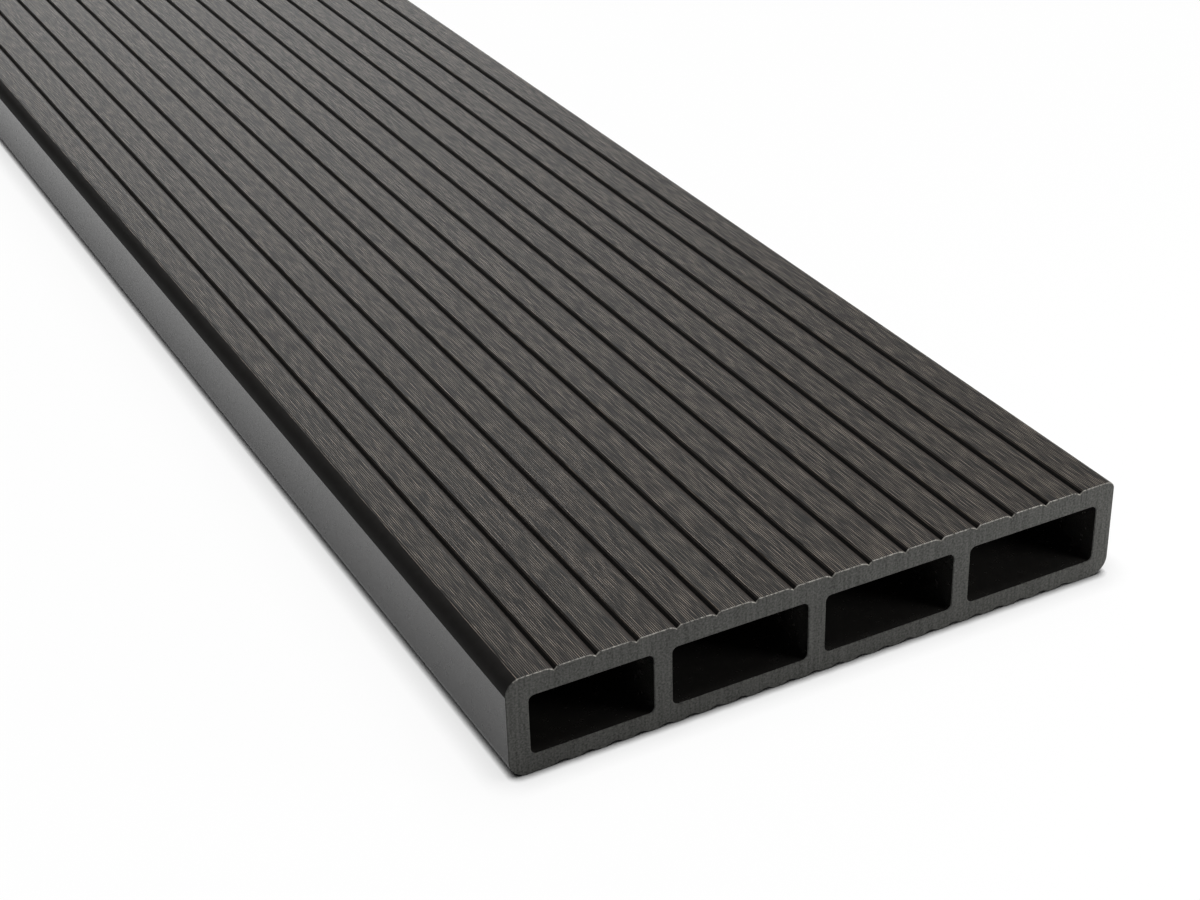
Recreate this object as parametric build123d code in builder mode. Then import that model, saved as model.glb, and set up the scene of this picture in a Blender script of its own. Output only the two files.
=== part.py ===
from build123d import *
import os

# Hollow composite fence board, extruded as one piece and sawn square at both ends.
# It lies flat with its grooved face up: X runs across the width, Y along the length, Z up.
# The origin is at the middle of the underside. Sizes are in millimetres, and left and right
# are as seen by someone who looks along +Y at the near end.

# Outside of the section
length = 1800.0
width = 150.0
thickness = 24.0
left_face_radius = 3.8
right_face_radius = 2.2
underside_corner_radius = 4.2

# Outer walls, and the webs that part the hollows
face_wall = 5.2
underside_wall = 4.5
left_wall = 5.0
right_wall = 4.6
web_thickness = 4.3
web_spacing = 36.9

# The outermost hollows differ, so the row of webs stands a little left of the middle
left_hollow = 28.2
right_hollow = 34.1
hollow_corner_radius = 1.4

# Grooves along the face: a rounded shoulder falls to the bottom, and a steep flank rises from it
groove_spacing = 9.25
groove_depth = 0.75
shoulder_width = 2.1
flank_width = 0.9
edge_rib = 8.75

# Waves along the underside, between narrow flat crests
wave_spacing = 6.0
wave_width = 4.8
wave_depth = 0.6
edge_margin = 9.6

left_side = -width / 2
right_side = width / 2
groove_width = shoulder_width + flank_width
hollow_height = thickness - face_wall - underside_wall


def even_row(first, last, spacing):
    """Centres evenly placed from first to last, with the step nearest to the spacing."""
    steps = round((last - first) / spacing)
    if steps < 1:
        return [(first + last) / 2]
    return [first + (last - first) * i / steps for i in range(steps + 1)]


def spans_between(start, centres, item_width, end):
    """Left and right ends of the spaces that a row of items leaves between start and end."""
    lefts = [start] + [centre + item_width / 2 for centre in centres]
    rights = [centre - item_width / 2 for centre in centres] + [end]
    return list(zip(lefts, rights))


def draw_groove(centre):
    """One groove of the face, open from side to side over groove_width."""
    left = centre - groove_width / 2
    bottom = (left + shoulder_width, thickness - groove_depth)
    TangentArc((left, thickness), bottom, tangent=(1, 0))
    Line(bottom, (left + groove_width, thickness))


def draw_wave(centre):
    """One hollow of the underside, which turns smoothly into the flat crests beside it."""
    quarter = wave_width / 4
    left_bend = (centre - quarter, wave_depth / 2)
    right_bend = (centre + quarter, wave_depth / 2)
    TangentArc((centre - 2 * quarter, 0), left_bend, tangent=(1, 0))
    ThreePointArc(left_bend, (centre, wave_depth), right_bend)
    TangentArc((centre + 2 * quarter, 0), right_bend, tangent=(-1, 0))


webs = even_row(
    left_side + left_wall + left_hollow + web_thickness / 2,
    right_side - right_wall - right_hollow - web_thickness / 2,
    web_spacing,
)
first_groove = left_side + edge_rib + groove_width / 2
grooves = even_row(first_groove, -first_groove, groove_spacing)
first_wave = left_side + edge_margin + wave_width / 2
waves = even_row(first_wave, -first_wave, wave_spacing)

with BuildPart() as board:
    with BuildSketch(Plane.XZ) as section:
        with BuildLine():
            # Face: ribs with a groove between each two
            for left, right in spans_between(left_side, grooves, groove_width, right_side):
                Line((left, thickness), (right, thickness))
            for centre in grooves:
                draw_groove(centre)
            # Underside: a flat margin at each side and the waves and crests between them
            for left, right in spans_between(left_side, waves, wave_width, right_side):
                Line((left, 0), (right, 0))
            for centre in waves:
                draw_wave(centre)
            Line((left_side, 0), (left_side, thickness))
            Line((right_side, 0), (right_side, thickness))
        make_face()

        for side, radius in ((0, left_face_radius), (-1, right_face_radius)):
            face_ends = section.vertices().group_by(Axis.Y)[-1].sort_by(Axis.X)
            fillet(face_ends[side], radius)
        underside_ends = section.vertices().group_by(Axis.Y)[0].sort_by(Axis.X)
        fillet((underside_ends[0], underside_ends[-1]), underside_corner_radius)

        hollow_middle = underside_wall + hollow_height / 2
        hollow_start = left_side + left_wall
        hollow_end = right_side - right_wall
        for left, right in spans_between(hollow_start, webs, web_thickness, hollow_end):
            with Locations(((left + right) / 2, hollow_middle)):
                RectangleRounded(right - left, hollow_height, hollow_corner_radius, mode=Mode.SUBTRACT)

    extrude(amount=length / 2, both=True)

board.part.label = "board"

os.makedirs("parts", exist_ok=True)
export_step(board.part, "parts/board.step")
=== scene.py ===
# %% [markdown]
# # A composite fence board
#
# The board is one piece of wood-plastic composite: wood flour and polymer, melted together and pushed
# through a steel die. Four hollows run through it, its face is grooved and wire-brushed, its underside
# is waved, and both ends are sawn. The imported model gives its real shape. Here it gets what the die,
# the brush and the saw leave on the surface, and a light and a camera like those of the photograph.

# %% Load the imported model
from math import pi, radians

import bmesh
import bpy
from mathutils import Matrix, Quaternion, Vector


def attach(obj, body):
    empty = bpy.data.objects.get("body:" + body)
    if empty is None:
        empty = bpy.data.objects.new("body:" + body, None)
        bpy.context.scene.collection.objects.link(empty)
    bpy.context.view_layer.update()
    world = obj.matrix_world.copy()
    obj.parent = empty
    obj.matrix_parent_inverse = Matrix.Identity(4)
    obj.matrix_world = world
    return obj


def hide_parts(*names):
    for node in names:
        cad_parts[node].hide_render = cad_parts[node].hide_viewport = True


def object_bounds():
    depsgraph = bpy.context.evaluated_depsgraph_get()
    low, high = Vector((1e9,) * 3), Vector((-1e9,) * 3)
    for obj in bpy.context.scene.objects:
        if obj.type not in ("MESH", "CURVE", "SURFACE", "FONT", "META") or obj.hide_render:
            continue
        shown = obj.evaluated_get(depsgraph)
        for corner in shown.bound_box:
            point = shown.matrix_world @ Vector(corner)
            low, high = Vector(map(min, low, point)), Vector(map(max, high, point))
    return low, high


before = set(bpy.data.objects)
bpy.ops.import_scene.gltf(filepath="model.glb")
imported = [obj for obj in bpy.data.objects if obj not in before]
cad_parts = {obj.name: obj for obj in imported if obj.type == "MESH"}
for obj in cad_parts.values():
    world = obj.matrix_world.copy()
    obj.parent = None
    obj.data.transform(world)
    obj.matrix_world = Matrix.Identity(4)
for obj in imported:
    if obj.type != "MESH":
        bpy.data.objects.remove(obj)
cad_box = [list(corner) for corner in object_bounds()]
(low_x, low_y, _), (high_x, high_y, high_z) = cad_box
mm = 0.001
print("Size in mm:", [round((high - low) / mm, 1) for low, high in zip(*cad_box)])

# %% [markdown]
# ## Camera
#
# Parallel edges of the board run together in the photograph, and how fast they do so gives the place
# and the lens of its camera. It stands a little left of the board, looks down at about 30 degrees, and
# leans by less than two. It could be turned by three angles, but a camera that is aimed at a point and
# then rolled is easier to correct by eye. Its sensor and lens are in millimetres, as Blender has them.

# %% Set up the camera
camera_place = Vector((-216.2, -1217.6, 277.7)) * mm
camera_target = Vector((-7.3, -812.0, 12.0)) * mm
camera_roll = radians(-1.7)
sensor_width = 36.0
focal_length = 66.2
nearest_seen = 50 * mm
farthest_seen = 100.0

camera = bpy.data.objects.new("camera", bpy.data.cameras.new("camera"))
bpy.context.scene.collection.objects.link(camera)
camera.data.sensor_width = sensor_width
camera.data.lens = focal_length
camera.data.clip_start = nearest_seen
camera.data.clip_end = farthest_seen
aim = (camera_target - camera_place).to_track_quat("-Z", "Y")
camera.rotation_mode = "QUATERNION"
camera.rotation_quaternion = aim @ Quaternion((0, 0, 1), camera_roll)
camera.location = camera_place
bpy.context.scene.camera = camera
print("Camera looks along", [round(x, 3) for x in aim @ Vector((0, 0, -1))])

# %% [markdown]
# ## Helpers for colours and nodes
#
# Colours are picked as sRGB hex codes, but the shaders work with linear light, so one function turns
# them. Nodes could be placed by hand in the node editor, but code can be read, run again and changed.
# One function adds a node, gives it its settings, and fills its sockets with values or with the
# outputs of earlier nodes, so each material below reads from top to bottom. Sockets go by name, except
# where a node uses a name twice: those go by number.

# %% Turn hex codes into colours and add nodes
# Sockets of a Mix node for colours: how much of the second, the two colours, and the result
mix_share = 0
mix_first = 6
mix_second = 7
mix_result = 2


def colour(hex_code):
    """A linear colour from an sRGB hex code, by the curve that sRGB is defined with."""
    shares = [int(hex_code[i : i + 2], 16) / 255 for i in (1, 3, 5)]
    return (*[s / 12.92 if s <= 0.04045 else ((s + 0.055) / 1.055) ** 2.4 for s in shares], 1.0)


def add_node(tree, kind, inputs=None, **settings):
    """Adds a node with its settings. An input is given a value, or a link where it is an output."""
    node = tree.nodes.new(kind)
    for name, value in settings.items():
        setattr(node, name, value)
    for socket, value in (inputs or {}).items():
        if isinstance(value, bpy.types.NodeSocket):
            tree.links.new(value, node.inputs[socket])
        else:
            node.inputs[socket].default_value = value
    return node.outputs


def new_tree(name):
    """A new material and its node tree, emptied."""
    material = bpy.data.materials.new(name)
    material.use_nodes = True
    material.node_tree.nodes.clear()
    return material, material.node_tree


print("A mid grey is", [round(x, 3) for x in colour("#808080")])

# %% [markdown]
# ## Floor
#
# The board lies on white paper in a studio. Such paper often curves up behind the object, but this
# camera looks down and sees only the floor, so one plane does, large enough for a view from any side.
# It lies a hair under the board, so that the two don't flicker where they touch.

# %% Lay the floor
floor_size = 80.0
floor_below = 0.05 * mm

bpy.ops.object.select_all(action="DESELECT")
bpy.ops.mesh.primitive_plane_add(size=floor_size, location=(0, 0, -floor_below))
floor = bpy.context.object
floor.name = "floor"
print("Floor", floor_size, "m wide")

# %% [markdown]
# The paper could be lit until it looks white, but that much light would wash out the board. So it is
# a plain matt white, which bounces light onto the sides and ends, and for the camera and for
# reflections most of its white is its own light, which keeps it as pale as in the photograph.
#
# Its own light knows no shadow, so Ambient Occlusion nodes dim it. They tell how open the floor is
# above a point: 1 out in the open, and less beside and under the board. One gives the short, tight
# shadow, another the dark line in the gap under the board. A wider one counts only for reflections:
# it darkens the floor that the glossy side of the board mirrors, more and more towards its bottom.

# %% Material of the floor: matt white paper, which gives the board a soft, bright light from below
own_light_share = 0.95
opening_rays = 4
shade_reach = 7 * mm
shade_from, shade_to = 0.6, 0.9
shade_depth = 0.24
gap_reach = 2 * mm
gap_from, gap_to = 0.66, 0.82
mirrored_reach = 30 * mm
mirrored_from, mirrored_to = 0.5, 1.0
mirrored_dark, mirrored_light = 0.15, 1.3

paper, tree = new_tree("white_paper")
path = add_node(tree, "ShaderNodeLightPath")
inputs = {0: path["Is Camera Ray"], 1: path["Is Glossy Ray"]}
seen = add_node(tree, "ShaderNodeMath", inputs, operation="MAXIMUM")[0]
inputs = {0: seen, 1: path["Is Transmission Ray"]}
seen = add_node(tree, "ShaderNodeMath", inputs, operation="MAXIMUM")[0]
own_light = add_node(tree, "ShaderNodeMath", {0: seen, 1: own_light_share}, operation="MULTIPLY")[0]

# How open the floor is, within three distances
near = add_node(tree, "ShaderNodeAmbientOcclusion", {"Distance": shade_reach}, samples=opening_rays)["AO"]
gap = add_node(tree, "ShaderNodeAmbientOcclusion", {"Distance": gap_reach}, samples=opening_rays)["AO"]
wide = add_node(tree, "ShaderNodeAmbientOcclusion", {"Distance": mirrored_reach}, samples=opening_rays)["AO"]

# The shadow, times the dark line of the gap
inputs = {"Value": near, "From Min": shade_from, "From Max": shade_to, "To Min": 1 - shade_depth}
shade = add_node(tree, "ShaderNodeMapRange", inputs)[0]
inputs = {"Value": gap, "From Min": gap_from, "From Max": gap_to}
gap_shade = add_node(tree, "ShaderNodeMapRange", inputs)[0]
shade = add_node(tree, "ShaderNodeMath", {0: shade, 1: gap_shade}, operation="MULTIPLY")[0]

# What reflections see instead. Sockets 2 and 3 take the two numbers of a Mix node.
inputs = {"Value": wide, "From Min": mirrored_from, "From Max": mirrored_to}
inputs |= {"To Min": mirrored_dark, "To Max": mirrored_light}
mirrored = add_node(tree, "ShaderNodeMapRange", inputs)[0]
inputs = {mix_share: path["Is Glossy Ray"], 2: shade, 3: mirrored}
brightness = add_node(tree, "ShaderNodeMix", inputs, data_type="FLOAT")[0]

matt = add_node(tree, "ShaderNodeBsdfDiffuse", {"Color": colour("#e6e6e6")})[0]
white = add_node(tree, "ShaderNodeEmission", {"Color": colour("#ffffff"), "Strength": brightness})[0]
surface = add_node(tree, "ShaderNodeMixShader", {0: own_light, 1: matt, 2: white})[0]
add_node(tree, "ShaderNodeOutputMaterial", {"Surface": surface})
floor.data.materials.append(paper)
print(paper.name, "has", len(tree.nodes), "nodes")

# %% [markdown]
# ## Light
#
# The main light is a wide, soft one that hangs high and a little to the right, so the short shadow
# falls to the left. A weak one low behind the board gives its face the sheen that grows with the
# distance. Softboxes near the board could do both, but they would light its near part more than its
# far part. Suns light all of it alike, and a wide angle makes their shadows soft.

# %% Add the two suns
def add_sun(name, direction, strength, angle):
    """A distant lamp that shines from direction, as wide as angle, for shadows as soft as that."""
    lamp = bpy.data.lights.new(name, "SUN")
    lamp.energy = strength
    lamp.angle = radians(angle)
    sun = bpy.data.objects.new(name, lamp)
    sun.rotation_mode = "QUATERNION"
    sun.rotation_quaternion = Vector(direction).to_track_quat("Z", "Y")
    bpy.context.scene.collection.objects.link(sun)
    print("Sun", name, "of strength", strength)


add_sun("high_lamp", direction=(0.40, 0.20, 0.89), strength=3.1, angle=45)
add_sun("back_lamp", direction=(0.28, 0.945, 0.16), strength=1.3, angle=38)

# %% [markdown]
# A small lamp near the front lights the sawn end, more on its right than on its left. A third sun
# would light the end evenly, so this one is a disc at a short distance, whose light fades across it.
# Reflections leave it out, so that it makes no glare on the face. A faint light from all around, the
# world's, fills in what the lamps and the floor don't reach.

# %% Add the lamp of the near end and the world
end_lamp_place = Vector((275, -1110, 110)) * mm
end_lamp_target = Vector((20, -900, 12)) * mm
end_lamp_width = 160 * mm
end_lamp_power = 0.87
world_strength = 0.10

disc = bpy.data.lights.new("end_lamp", "AREA")
disc.shape = "DISK"
disc.size = end_lamp_width
disc.energy = end_lamp_power
end_lamp = bpy.data.objects.new("end_lamp", disc)
end_lamp.rotation_mode = "QUATERNION"
end_lamp.rotation_quaternion = (end_lamp_target - end_lamp_place).to_track_quat("-Z", "Y")
end_lamp.location = end_lamp_place
end_lamp.visible_camera = False
end_lamp.visible_glossy = False
bpy.context.scene.collection.objects.link(end_lamp)

world = bpy.data.worlds.new("studio")
world.use_nodes = True
world.node_tree.nodes.clear()
inputs = {"Color": colour("#ffffff"), "Strength": world_strength}
air = add_node(world.node_tree, "ShaderNodeBackground", inputs)[0]
add_node(world.node_tree, "ShaderNodeOutputWorld", {"Surface": air})
bpy.context.scene.world = world
bpy.context.scene.view_settings.view_transform = "Standard"

# %% [markdown]
# ## The board
#
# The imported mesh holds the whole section, but as loose triangles as long as the board, which can't be
# bevelled or cut well. The section could be drawn and extruded again here, but then two shapes would
# have to be kept alike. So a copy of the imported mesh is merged, and its flat stretches are dissolved
# into single faces. After that, an edge or a face can be picked by its place.

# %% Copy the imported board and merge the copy
merge_distance = 0.001 * mm
flat_within = radians(0.5)

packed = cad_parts["board"]
board = bpy.data.objects.new("fence_board", packed.data.copy())
bpy.context.scene.collection.objects.link(board)
bpy.ops.object.select_all(action="DESELECT")
board.select_set(True)
bpy.context.view_layer.objects.active = board

bpy.ops.object.mode_set(mode="EDIT")
bpy.ops.mesh.customdata_custom_splitnormals_clear()
bpy.ops.mesh.select_all(action="SELECT")
bpy.ops.mesh.remove_doubles(threshold=merge_distance)
bpy.ops.mesh.dissolve_limited(angle_limit=flat_within)
bpy.ops.object.mode_set(mode="OBJECT")
print("Merged into", len(board.data.vertices), "points and", len(board.data.polygons), "faces")

# %% [markdown]
# ### Broken arrises
#
# The saw leaves the arrises of the ends a little broken. They catch the light as thin pale lines along
# the tops of the ribs, and as faint ones round the hollows. A Bevel modifier works by angle, and would
# take the edges along the board too, which the die leaves as they are. The Bevel tool takes only what
# is selected: the edges between an end and what runs along the board.

# %% Break the arrises of the sawn ends
arris = 0.18 * mm
end_facing = 0.9


def select_edges(test):
    """Selects the edges of the board for which test is true, and says how many there are."""
    bpy.ops.object.mode_set(mode="EDIT")
    bpy.ops.mesh.select_mode(type="EDGE")
    bpy.ops.mesh.select_all(action="DESELECT")
    mesh = bmesh.from_edit_mesh(board.data)
    chosen = [edge for edge in mesh.edges if test(edge)]
    for edge in chosen:
        edge.select_set(True)
    mesh.select_flush_mode()
    bmesh.update_edit_mesh(board.data)
    return len(chosen)


def goes_round_an_end(edge):
    """True for an edge between a sawn end and a face that runs along the board."""
    at_end = [abs(face.normal.y) > end_facing for face in edge.link_faces]
    return sorted(at_end) == [False, True]


found = select_edges(goes_round_an_end)
bpy.ops.mesh.bevel(offset=arris, offset_type="OFFSET", segments=1, affect="EDGES", clamp_overlap=False)
bpy.ops.object.mode_set(mode="OBJECT")
print("Broke", found, "edges by", arris / mm, "mm")

# %% [markdown]
# ### Cuts for the brush marks
#
# The brush cuts short, shallow lines into the tops of the ribs, so these need points close together. A
# Subdivision modifier would make the whole board as fine, with millions of triangles. Edges that are
# picked by their place and subdivided give fine strips only where the brush went. First all that runs
# along the board is cut into lengths, and then the tops of the ribs are cut finer along the board.

# %% Cut the board and its ribs into lengths
board_lengths = 30
rib_lengths = 5
tiny = 0.01 * mm


def steps_of(edge):
    """How far an edge goes across the board, along it and up."""
    first, second = (v.co for v in edge.verts)
    return [abs(b - a) for a, b in zip(first, second)]


def runs_along(edge):
    """True for an edge from one end of the board to the other."""
    return steps_of(edge)[1] > (high_y - low_y) / 2


def runs_along_a_rib(edge):
    """True for a cut length of a rib's two top edges, but not for what its broken arris added."""
    across, along, _ = steps_of(edge)
    on_top = all(v.co.z > high_z - tiny for v in edge.verts)
    return on_top and across < tiny and along > 2 * arris


found = select_edges(runs_along)
bpy.ops.mesh.subdivide(number_cuts=board_lengths - 1)
print("Cut", found, "edges along the board into", board_lengths, "lengths each")
found = select_edges(runs_along_a_rib)
bpy.ops.mesh.subdivide(number_cuts=rib_lengths - 1)
print("Cut", found, "lengths of the ribs' edges into", rib_lengths, "each")

# %% [markdown]
# Across a rib, the strips are a quarter of a millimetre wide, half the spacing of the brush's wires, so
# that a line can be cut between two that are left. The steep flank of each groove gets three strips:
# the brush reaches over its edge, so the uppermost will look brushed, and the others get the nearly
# black skin that is painted shade in the groove.

# %% Cut the ribs and the flanks of the grooves into strips
wire_spacing = 0.5 * mm
rib_width = 6.25 * mm
narrowest_rib = 0.7 * rib_width
rib_strips = round(2 * rib_width / wire_spacing)
groove_depth = 0.75 * mm
flank_width = 0.9 * mm
flank_strips = 3


def crosses_a_rib(edge):
    """True for an edge straight across a rib's top, or across its broken arris."""
    across, along, _ = steps_of(edge)
    level = all(v.co.z > high_z - arris - tiny for v in edge.verts)
    return level and across > narrowest_rib and along < tiny


def crosses_a_flank(edge):
    """True for an edge up the steep flank of a groove, which the broken arris may have moved."""
    across, along, up = steps_of(edge)
    return along < tiny and abs(across - flank_width) < arris and abs(up - groove_depth) < arris


found = select_edges(crosses_a_rib)
bpy.ops.mesh.subdivide(number_cuts=rib_strips - 1)
print("Cut", found, "edges across the ribs into", rib_strips, "strips each")
found = select_edges(crosses_a_flank)
bpy.ops.mesh.subdivide(number_cuts=flank_strips - 1)
print("Cut", found, "edges across the flanks into", flank_strips, "strips each")
bpy.ops.object.mode_set(mode="OBJECT")
board.data.calc_loop_triangles()
print("Now", len(board.data.polygons), "faces, or", len(board.data.loop_triangles), "triangles")

# %% [markdown]
# ### What the brush reached
#
# The brush wears what stands proud, and little of the shoulders that fall into the grooves. That could
# be painted by hand, but it follows from how high a point lies, so each point gets a share from 0 to 1
# of how much it was brushed. At the rounded corners the brush reaches further down. The share is kept
# as an attribute for the colours, and the points inside the flat tops make a group for the relief.

# %% Mark what the brush reached
brush_reach = 0.22 * mm
corner_brush_reach = 0.6 * mm
corner_width = 4 * mm
level_facing = 0.99
along_facing = 0.5


def brushed_share(point):
    """How much of the brush a point of the board got, from its height under the tops of the ribs."""
    reach = corner_brush_reach if abs(point.x) > high_x - corner_width else brush_reach
    return min(max(1 - (high_z - point.z) / reach, 0.0), 1.0)


shares = [brushed_share(v.co) for v in board.data.vertices]
brushed = board.data.attributes.new("brushed", "FLOAT", "POINT")
brushed.data.foreach_set("value", shares)

sloped = set()
for polygon in board.data.polygons:
    if polygon.normal.z < level_facing and abs(polygon.normal.y) < along_facing:
        sloped.update(polygon.vertices)
inside = [i for i, share in enumerate(shares) if share == 1 and i not in sloped]
group = board.vertex_groups.new(name="rib_tops")
group.add(inside, 1.0, "REPLACE")
print("Brushed points:", sum(share > 0 for share in shares), "inside the ribs:", len(inside))

# %% [markdown]
# ### Brush marks
#
# The wires leave shallow lines of uneven depth. They could be left to the bump of a material, but then
# the ends and the exported mesh would show smooth ribs, and carving them one by one would take days. A
# Displace modifier lowers each point of the ribs by what a cloudy texture says there. An empty
# stretches the texture along the board, which turns its blobs into lines. Brushing only takes stuff
# away, so no point goes up.

# %% Cut the brush marks
mark_depth = 0.08 * mm
mark_width = 0.3 * mm
mark_length = 30 * mm
smooth_within = radians(35)

stretch = bpy.data.objects.new("stretch", None)
stretch.scale = (mark_width, mark_length, mark_width)
bpy.context.scene.collection.objects.link(stretch)
marks = bpy.data.textures.new("brush_marks", "CLOUDS")
marks.noise_scale = 1.0
marks.noise_depth = 1
bpy.context.view_layer.update()

displace = board.modifiers.new("brush_marks", "DISPLACE")
displace.texture = marks
displace.texture_coords = "OBJECT"
displace.texture_coords_object = stretch
displace.direction = "Z"
displace.mid_level = 1.0
displace.strength = mark_depth
displace.vertex_group = group.name
bpy.ops.object.modifier_apply(modifier=displace.name)
bpy.data.objects.remove(stretch)
bpy.ops.object.shade_smooth_by_angle(angle=smooth_within)
depths = [high_z - board.data.vertices[i].co.z for i in inside]
print("Marks from", round(min(depths) / mm, 3), "to", round(max(depths) / mm, 3), "mm deep")

# %% [markdown]
# ## Brushed face
#
# Brushing opens the dark skin of the ribs and lays bare paler wood fibres. The eye sees short light
# and dark threads along the board, side by side, one for each wire. Stretched noise alone gives lines
# at random places, so a wave across the board draws the threads, and noise only breaks them up. They
# are drawn about a quarter wider than the real ones, which would be too fine to show.

# %% Threads of the brushed face
# Brushed wood-plastic composite: the eye gets a dull dark brown-grey, streaked with paler fibres
thread_spacing = 0.45 * mm
thread_length = 12 * mm
thread_turn = pi / 10
line_width = 0.22 * mm
line_length = 7 * mm
thread_weight = 1.2

brushed_face, tree = new_tree("brushed_composite")
place = add_node(tree, "ShaderNodeTexCoord")["Object"]
inputs = {"Vector": place, "Scale": (1 / thread_spacing, 1 / thread_length, 0)}
at_thread = add_node(tree, "ShaderNodeMapping", inputs)[0]
inputs = {"Vector": at_thread, "Scale": thread_turn, "Distortion": 1.5, "Detail Scale": 3.0}
threads = add_node(tree, "ShaderNodeTexWave", inputs)["Fac"]
inputs = {"Vector": place, "Scale": (1 / line_width, 1 / line_length, 0)}
at_line = add_node(tree, "ShaderNodeMapping", inputs)[0]
lines = add_node(tree, "ShaderNodeTexNoise", {"Vector": at_line, "Scale": 1.0, "Detail": 1.0})["Fac"]
inputs = {0: threads, 1: thread_weight, 2: lines}
height = add_node(tree, "ShaderNodeMath", inputs, operation="MULTIPLY_ADD")[0]
print("A rib shows about", round(rib_width / thread_spacing), "threads")

# %% [markdown]
# The fibres that stand highest are pale, and the furrows between them nearly black: partly the dark
# skin left in them, partly painted shade in the scratches. The brush doesn't bite alike everywhere: in
# long patches the threads are weak, and some patches are cooler in colour. Painting them would need an
# image, so a second, larger noise says where they are.

# %% Fibres, furrows and weak patches
bared_from, bared_to = 1.53, 1.79
patch_width = 9 * mm
patch_length = 60 * mm
weak_from, weak_to = 0.35, 0.70
weakest = 0.2
cool_from, cool_to = 0.52, 0.70

inputs = {"Value": height, "From Min": bared_from, "From Max": bared_to}
bared = add_node(tree, "ShaderNodeMapRange", inputs)[0]
# Furrows nearly black, partly the dark skin left in them and partly painted shade; highest fibres pale
inputs = {mix_share: bared, mix_first: colour("#110f0d"), mix_second: colour("#847a6f")}
fibres = add_node(tree, "ShaderNodeMix", inputs, data_type="RGBA")[mix_result]

inputs = {"Vector": place, "Scale": (1 / patch_width, 1 / patch_length, 0)}
at_patch = add_node(tree, "ShaderNodeMapping", inputs)[0]
patches = add_node(tree, "ShaderNodeTexNoise", {"Vector": at_patch, "Scale": 1.0, "Detail": 2.0})["Fac"]
inputs = {"Value": patches, "From Min": cool_from, "From Max": cool_to}
cool = add_node(tree, "ShaderNodeMapRange", inputs)[0]
inputs = {mix_share: cool, mix_first: colour("#2f2b27"), mix_second: colour("#2d2e2b")}
even = add_node(tree, "ShaderNodeMix", inputs, data_type="RGBA")[mix_result]
inputs = {"Value": patches, "From Min": weak_from, "From Max": weak_to, "To Max": weakest}
weak = add_node(tree, "ShaderNodeMapRange", inputs)[0]
inputs = {mix_share: weak, mix_first: fibres, mix_second: even}
ribs = add_node(tree, "ShaderNodeMix", inputs, data_type="RGBA")[mix_result]
print("Patches of about", round(patch_length / mm), "by", round(patch_width / mm), "mm")

# %% [markdown]
# The shoulders of the grooves keep the plain, darker skin, and the border between the two is ragged,
# as the wires left it. A second material would meet the first along a straight line of faces, so one
# material shows both, by the share that each point was brushed, and the same lines fray the border.

# %% Shoulders and gloss of the brushed face
ragged_weight = 0.8
opened_from, opened_to = 0.70, 1.10
thread_height = 0.04 * mm

reach = add_node(tree, "ShaderNodeAttribute", attribute_name="brushed")["Fac"]
inputs = {0: lines, 1: ragged_weight, 2: reach}
ragged = add_node(tree, "ShaderNodeMath", inputs, operation="MULTIPLY_ADD")[0]
inputs = {"Value": ragged, "From Min": opened_from, "From Max": opened_to}
opened = add_node(tree, "ShaderNodeMapRange", inputs)[0]
inputs = {mix_share: opened, mix_first: colour("#2f2b28"), mix_second: ribs}
shown = add_node(tree, "ShaderNodeMix", inputs, data_type="RGBA")[mix_result]

bump = add_node(tree, "ShaderNodeBump", {"Height": height, "Strength": 0.6, "Distance": thread_height})[0]
inputs = {"Base Color": shown, "Roughness": 0.5, "Specular IOR Level": 0.12, "Normal": bump}
surface = add_node(tree, "ShaderNodeBsdfPrincipled", inputs)[0]
add_node(tree, "ShaderNodeOutputMaterial", {"Surface": surface})
print(brushed_face.name, "has", len(tree.nodes), "nodes")

# %% [markdown]
# ## Die skin
#
# The sides, the underside and the hollows are as the die left them: nearly black and smooth, a little
# mottled, and with faint lines where the melt was drawn over the steel. The sides have a satin gloss.
# The rounded corners and the steep flanks of the grooves turn away from the lamps, and that shade is
# painted into darker copies of the skin: for the corners one without gloss and a little darker, for the
# flanks a nearly black one. One material could fade from one to the other, but the borders are sharp,
# so one function makes a material for each of the three.

# %% Materials of the skin: wood-plastic composite, extruded
mottle_size = 2.5 * mm
mottle_from, mottle_to = 0.3, 0.7
drawn_width = 0.9 * mm
drawn_length = 160 * mm
drawn_height = 0.01 * mm
rough_spread = 0.05


def make_skin_material(name, dark, light, roughness, gloss):
    """Smooth die skin, mottled between two colours, with faint drawn lines."""
    material, tree = new_tree(name)
    place = add_node(tree, "ShaderNodeTexCoord")["Object"]
    inputs = {"Vector": place, "Scale": 1 / mottle_size, "Detail": 3.0, "Roughness": 0.6}
    mottle = add_node(tree, "ShaderNodeTexNoise", inputs)["Fac"]
    inputs = {"Vector": place, "Scale": (1 / drawn_width, 1 / drawn_length, 1 / drawn_width)}
    at_line = add_node(tree, "ShaderNodeMapping", inputs)[0]
    drawn = add_node(tree, "ShaderNodeTexNoise", {"Vector": at_line, "Scale": 1.0, "Detail": 2.0})["Fac"]

    inputs = {"Value": mottle, "From Min": mottle_from, "From Max": mottle_to}
    tone = add_node(tree, "ShaderNodeMapRange", inputs)[0]
    inputs = {mix_share: tone, mix_first: colour(dark), mix_second: colour(light)}
    shown = add_node(tree, "ShaderNodeMix", inputs, data_type="RGBA")[mix_result]
    inputs = {"Value": mottle, "To Min": roughness - rough_spread, "To Max": roughness + rough_spread}
    rough = add_node(tree, "ShaderNodeMapRange", inputs)[0]
    bump = add_node(tree, "ShaderNodeBump", {"Height": drawn, "Strength": 0.3, "Distance": drawn_height})[0]
    inputs = {"Base Color": shown, "Roughness": rough, "Specular IOR Level": gloss, "Normal": bump}
    surface = add_node(tree, "ShaderNodeBsdfPrincipled", inputs)[0]
    add_node(tree, "ShaderNodeOutputMaterial", {"Surface": surface})
    return material
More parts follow.
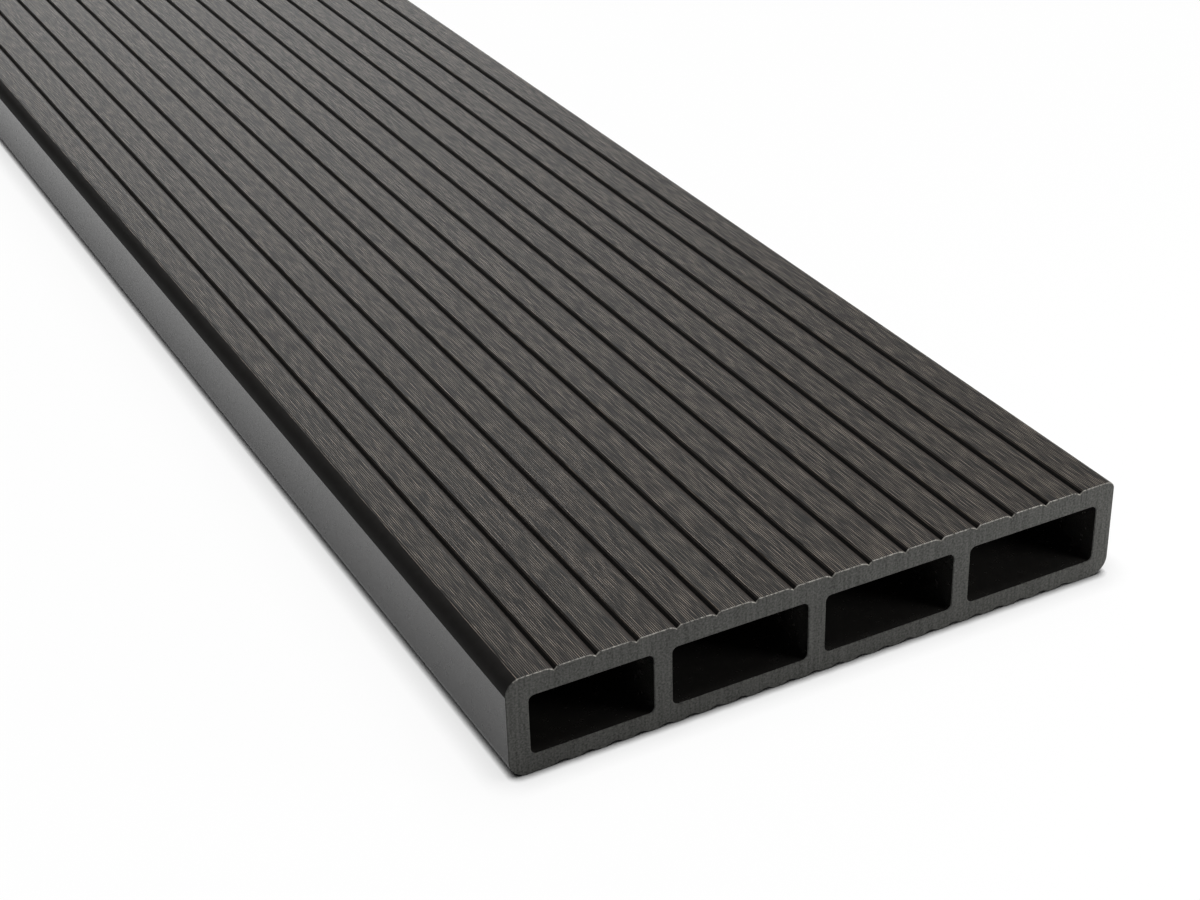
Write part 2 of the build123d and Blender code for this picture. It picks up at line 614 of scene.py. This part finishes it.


# Smooth skin that mirrors the floor softly, a darker copy without gloss as painted shade on the
# rounded corners, and a nearly black copy as painted shade in the grooves
die_skin = make_skin_material("die_skin_composite", "#201f1e", "#252422", roughness=0.26, gloss=0.5)
corner_shade_skin = make_skin_material("corner_shade_skin_composite", "#1e1d1c", "#232221", roughness=0.6, gloss=0.03)
groove_shade_skin = make_skin_material("groove_shade_skin_composite", "#0a0908", "#0f0e0d", roughness=0.6, gloss=0.05)
print("Skins:", [skin.name for skin in (die_skin, corner_shade_skin, groove_shade_skin)])

# %% [markdown]
# ## Sawn ends
#
# The saw opens the inside of the stuff, a matt dark grey. Grains of wood flour show in it as fine
# specks, and the teeth leave faint strokes down the section. Both are too small to model, so fine
# noise draws the grains, and noise stretched along the strokes draws these. The broken arrises of the
# ribs get a paler colour, a painted highlight: the same function with a paler colour gives it.

# %% Materials of the ends: wood-plastic composite, sawn, and a painted highlight on the arrises
grain_size = 0.5 * mm
grain_height = 0.05 * mm
stroke_width = 0.7 * mm
stroke_length = 12 * mm
stroke_lean = radians(8)
stroke_weight = 0.4
pale_from, pale_to = 0.52, 0.88


def make_end_material(name, dark, light):
    """Sawn section with grains of wood flour and faint tooth strokes."""
    material, tree = new_tree(name)
    place = add_node(tree, "ShaderNodeTexCoord")["Object"]
    inputs = {"Vector": place, "Scale": 1 / grain_size, "Detail": 3.0, "Roughness": 0.6}
    grains = add_node(tree, "ShaderNodeTexNoise", inputs)["Fac"]
    inputs = {"Vector": place, "Scale": (1 / stroke_width, 0, 1 / stroke_length)}
    inputs["Rotation"] = (0, stroke_lean, 0)
    at_stroke = add_node(tree, "ShaderNodeMapping", inputs)[0]
    strokes = add_node(tree, "ShaderNodeTexNoise", {"Vector": at_stroke, "Scale": 1.0, "Detail": 2.0})["Fac"]

    inputs = {0: strokes, 1: stroke_weight, 2: grains}
    height = add_node(tree, "ShaderNodeMath", inputs, operation="MULTIPLY_ADD")[0]
    inputs = {"Value": height, "From Min": pale_from, "From Max": pale_to}
    tone = add_node(tree, "ShaderNodeMapRange", inputs)[0]
    inputs = {mix_share: tone, mix_first: colour(dark), mix_second: colour(light)}
    shown = add_node(tree, "ShaderNodeMix", inputs, data_type="RGBA")[mix_result]
    bump = add_node(tree, "ShaderNodeBump", {"Height": height, "Strength": 0.5, "Distance": grain_height})[0]
    inputs = {"Base Color": shown, "Roughness": 0.8, "Specular IOR Level": 0.4, "Normal": bump}
    surface = add_node(tree, "ShaderNodeBsdfPrincipled", inputs)[0]
    add_node(tree, "ShaderNodeOutputMaterial", {"Surface": surface})
    return material


# A dry, rough grey with specks, and the thin pale line of a painted highlight on the ribs' arrises
sawn_end = make_end_material("sawn_composite", "#2c2c2a", "#555552")
arris_highlight = make_end_material("arris_highlight_composite", "#2e2d2b", "#a09d96")
print("Ends:", sawn_end.name, arris_highlight.name)

# %% [markdown]
# ## Put the finishes on
#
# Each face of the mesh takes its finish from where it is. The faces could be picked by hand in edit
# mode, but there are too many. The sawn ends and the arris of the ribs, with its painted highlight, go
# by their direction, the brushed face is what points up between the rounded corners, and the rest keeps
# the die's skin, with darker copies of it as painted shade on the corners and in the grooves.

# %% Give each face its material
# The corner and flank finishes are the darker copies of the skin that are painted shade
finishes = {
    "skin": die_skin,
    "corner": corner_shade_skin,
    "flank": groove_shade_skin,
    "face": brushed_face,
    "end": sawn_end,
    "arris": arris_highlight,
}
left_brushed = low_x + 2.7 * mm
right_brushed = high_x - 1.4 * mm
corner_start = high_z - 3.75 * mm
flank_brushed = high_z - groove_depth / flank_strips
highlight_above = high_z - groove_depth

# How far a face points along the board at an arris and at a sawn end, then up, and to the right
arris_facing = 0.3
saw_facing = 0.95
up_facing = 0.01
flank_facing = -0.3


def finish_of(polygon):
    """Name of the finish of a face, from its direction and place."""
    x, _, z = polygon.center
    if abs(polygon.normal.y) > arris_facing:
        # The slanted arris faces on the ribs get the pale painted highlight
        highlighted = abs(polygon.normal.y) < saw_facing and z > highlight_above
        return "arris" if highlighted else "end"
    if z < corner_start or polygon.normal.z < up_facing:
        return "skin"
    if not left_brushed < x < right_brushed:
        return "corner"
    return "face" if polygon.normal.x > flank_facing or z > flank_brushed else "flank"


board.data.materials.clear()
for material in finishes.values():
    board.data.materials.append(material)
names = list(finishes)
counts = dict.fromkeys(names, 0)
for polygon in board.data.polygons:
    name = finish_of(polygon)
    polygon.material_index = names.index(name)
    counts[name] += 1
print("Faces of each finish:", counts)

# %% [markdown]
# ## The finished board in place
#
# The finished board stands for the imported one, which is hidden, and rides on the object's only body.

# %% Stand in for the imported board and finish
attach(board, "root")
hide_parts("board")
